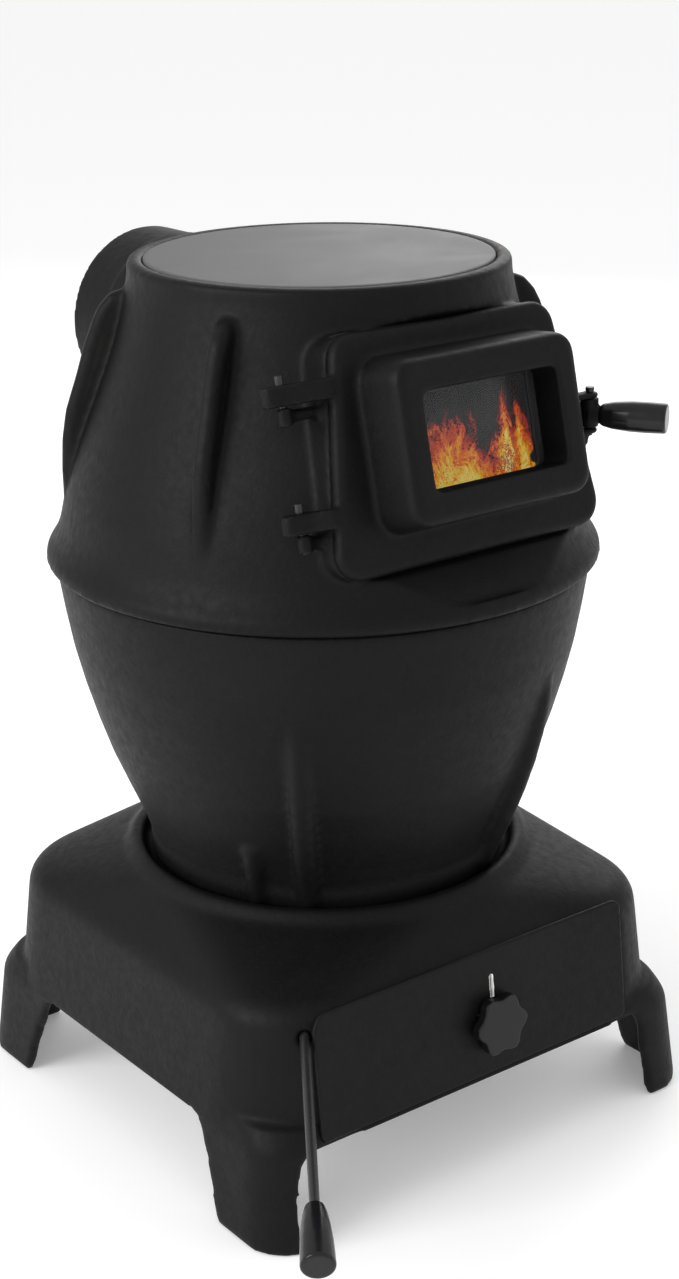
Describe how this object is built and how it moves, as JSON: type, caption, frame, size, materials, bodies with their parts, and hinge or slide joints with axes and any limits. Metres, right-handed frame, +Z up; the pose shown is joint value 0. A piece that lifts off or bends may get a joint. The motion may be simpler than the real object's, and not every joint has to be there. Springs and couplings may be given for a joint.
{
  "type": "wood burning stove",
  "caption": "Cast iron pot-belly wood stove on a square legged base, with a framed window door, ash drawer, lift-off hot plate, rear flue spigot and a long shaker lever.",
  "frame": {"origin": "on the floor, under the axis of the round pot", "axes": "+Z up along the pot's axis, -Y towards the fire door, +Y towards the flue, +X to the right seen from the front"},
  "size_m": [0.5218, 0.6232, 0.708],
  "materials": {
    "body_iron": "matt black stove paint on cast iron",
    "door_iron": "matt black stove paint on cast iron",
    "plate_iron": "bare seasoned iron, satin",
    "flue_iron": "matt black stove paint on cast iron",
    "front_paint": "matt black stove paint on sheet steel",
    "grate_iron": "bare, scaled by heat",
    "pan_steel": "folded sheet, dulled",
    "zinc_steel": "bright zinc plate",
    "black_steel": "semi-gloss black bar",
    "fixings": "blackened fixings",
    "grip": "gloss black heat-proof moulding",
    "knob": "satin black heat-proof moulding",
    "rope": "woven glass-fibre rope",
    "fire": "flames, seen through the window",
    "glass": "clear ceramic glass"
  },
  "bodies": {
    "stove": {"base_casting": "body_iron", "ash_pit_floor": "pan_steel", "floor_screws": "fixings", "drawer_rails": "pan_steel", "lower_pot": "body_iron", "pot_bolts": "fixings", "pot_nuts": "fixings", "seam_rope": "rope", "upper_pot": "body_iron", "flue_spigot": "flue_iron", "flue_bolts": "fixings", "grate_ring": "grate_iron", "hinge_pins": "black_steel", "latch_keeper": "door_iron", "keeper_screw": "fixings"},
    "door": {"door_casting": "door_iron", "door_glass": "glass", "glass_rope": "rope", "glass_frame": "pan_steel", "glass_screws": "fixings", "door_rope": "rope", "latch_pin": "black_steel"},
    "latch": {"latch_lever": "door_iron", "latch_grip": "grip", "latch_tang": "fixings"},
    "lid": {"hot_plate": "plate_iron"},
    "ash_drawer": {"drawer_front": "front_paint", "ash_pan": "pan_steel", "drawer_screws": "fixings", "air_spring": "fixings"},
    "air_control": {"air_shutter": "zinc_steel", "air_knob": "knob", "air_spindle": "fixings"},
    "shaker": {"grate": "grate_iron", "shaker_rod": "black_steel", "shaker_grip": "grip", "rod_cotter": "fixings"}
  },
  "joints": [
    {"name": "door_hinge", "type": "hinge", "parent": "stove", "child": "door", "pos_m": [-0.141, -0.15455, 0.58533], "axis": [0, -0.2334, -0.9724], "range_deg": [0, 100]},
    {"name": "latch_turn", "type": "hinge", "parent": "door", "child": "latch", "pos_m": [0.126, -0.173, 0.5945], "axis": [0, 0, 1], "range_deg": [-35, 6]},
    {"name": "lid_lift", "type": "slide", "parent": "stove", "child": "lid", "axis": [0, 0, 1], "range_m": [0, 0.25]},
    {"name": "ash_drawer_slide", "type": "slide", "parent": "stove", "child": "ash_drawer", "axis": [0, -1, 0], "range_m": [0, 0.25]},
    {"name": "air_turn", "type": "hinge", "parent": "ash_drawer", "child": "air_control", "pos_m": [0.0042, -0.2109, 0.1267], "axis": [0, -0.994, 0.1097], "range_deg": [0, 60]},
    {"name": "shaker_slide", "type": "slide", "parent": "stove", "child": "shaker", "axis": [-0.5678, -0.8231, 0], "range_m": [0, 0.02]}
  ]
}
